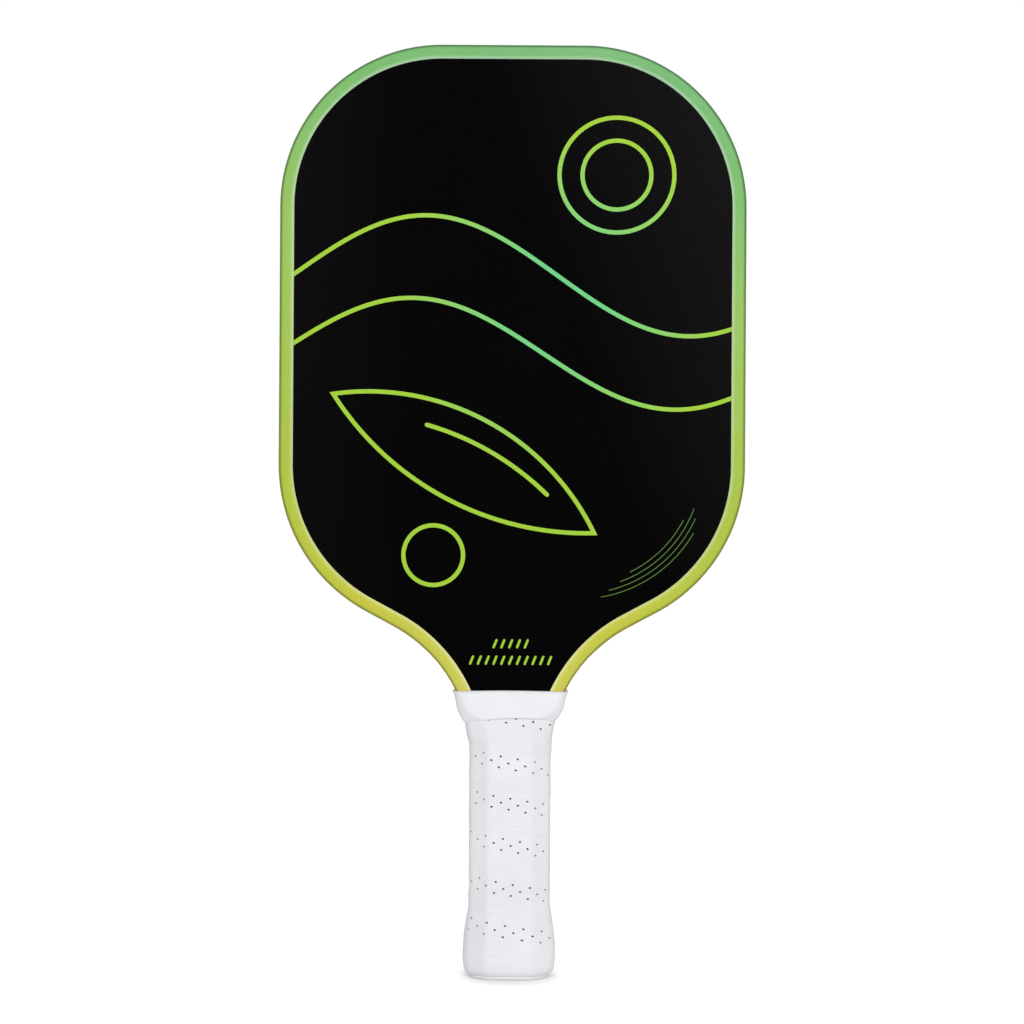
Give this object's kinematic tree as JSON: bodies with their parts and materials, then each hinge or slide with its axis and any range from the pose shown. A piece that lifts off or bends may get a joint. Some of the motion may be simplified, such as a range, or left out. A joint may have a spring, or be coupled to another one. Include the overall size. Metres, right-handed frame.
{
  "type": "pickleball paddle",
  "caption": "Pickleball paddle with a wide round-cornered head, a slim edge guard, a rubber throat collar and a perforated wrapped handle.",
  "frame": {"origin": "middle of the butt's underside", "axes": "+Z along the paddle from the butt to the head, +X across the face, +Y through the thickness; the front face looks towards -Y"},
  "size_m": [0.2032, 0.0336, 0.4064],
  "materials": {
    "raw_carbon_face": "matte",
    "carbon_ply": "satin",
    "core_plastic": "satin",
    "bond_film": "gloss",
    "edge_foam": "matte",
    "foam_tape": "matte",
    "lime_guard": "satin",
    "pallet_foam": "matte",
    "white_cap": "satin",
    "staple_steel": "satin",
    "cushion_backing": "matte",
    "white_grip": "matte",
    "clear_tape": "gloss",
    "white_rubber": "satin"
  },
  "bodies": {
    "root": {"honeycomb_core": "core_plastic", "edge_foam": "edge_foam", "edge_wrap_ply": "carbon_ply", "edge_tape": "foam_tape", "edge_guard": "lime_guard", "front_bond_film": "bond_film", "back_bond_film": "bond_film", "front_inner_ply": "carbon_ply", "back_inner_ply": "carbon_ply", "front_face_ply": "raw_carbon_face", "back_face_ply": "raw_carbon_face", "front_handle_pallet": "pallet_foam", "back_handle_pallet": "pallet_foam", "butt_cap": "white_cap", "butt_cap_staples": "staple_steel", "grip_start_staple": "staple_steel", "grip_backing": "cushion_backing", "grip_wrap": "white_grip", "finishing_tape": "clear_tape", "grip_collar": "white_rubber"}
  },
  "joints": []
}
